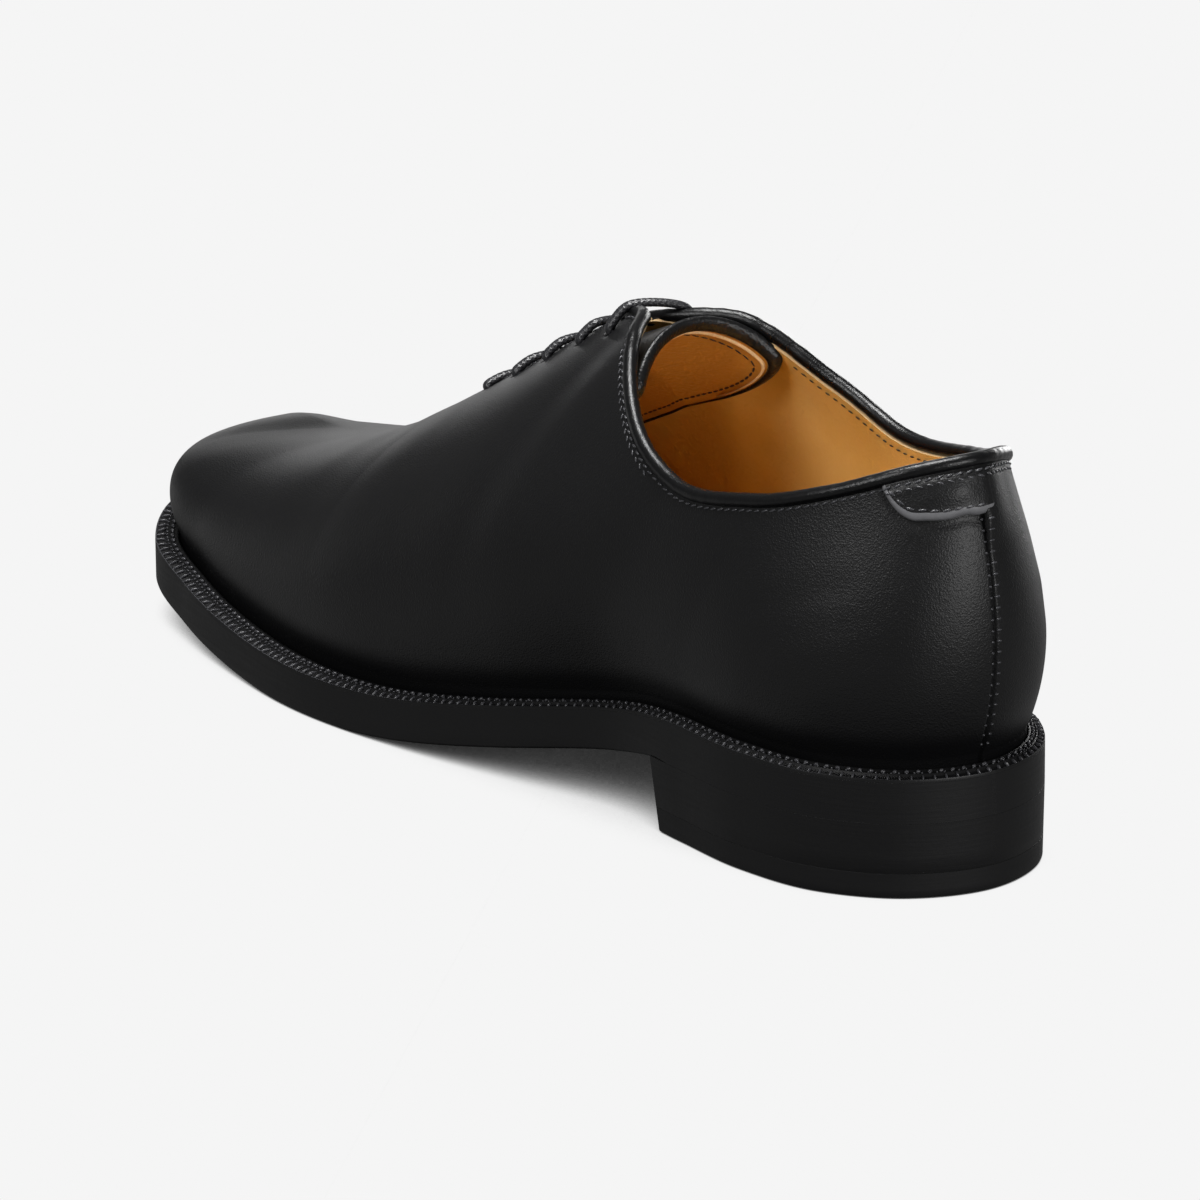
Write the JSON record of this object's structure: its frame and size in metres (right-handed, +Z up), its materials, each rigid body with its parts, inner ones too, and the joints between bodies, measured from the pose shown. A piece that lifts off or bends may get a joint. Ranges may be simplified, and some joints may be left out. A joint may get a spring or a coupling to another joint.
{
  "type": "whole cut oxford shoe",
  "caption": "Plain black leather oxford cut from one piece, with closed lacing, a rolled collar edge, a stitched welt all round and a low stacked heel.",
  "frame": {"origin": "on the floor under the middle of the shoe's bounding box", "axes": "+Y to the toe, +X to the shoe's right, which is its inner side, +Z up from the floor"},
  "size_m": [0.102, 0.3062, 0.1078],
  "materials": {
    "calf": "satin",
    "sole_edge": "satin",
    "welt": "satin",
    "top_lift": "matte",
    "sock": "satin",
    "lace": "waxed"
  },
  "bodies": {
    "root": {"outsole": "sole_edge", "heel_stack": "sole_edge", "top_lift": "top_lift", "welt": "welt", "insole": "sock", "upper": "calf", "collar_binding": "calf", "back_tail": "calf", "tongue": "calf", "lace_bar_1": "lace", "lace_bar_2": "lace", "lace_bar_3": "lace", "lace_bar_4": "lace", "lace_bar_5": "lace"}
  },
  "joints": []
}
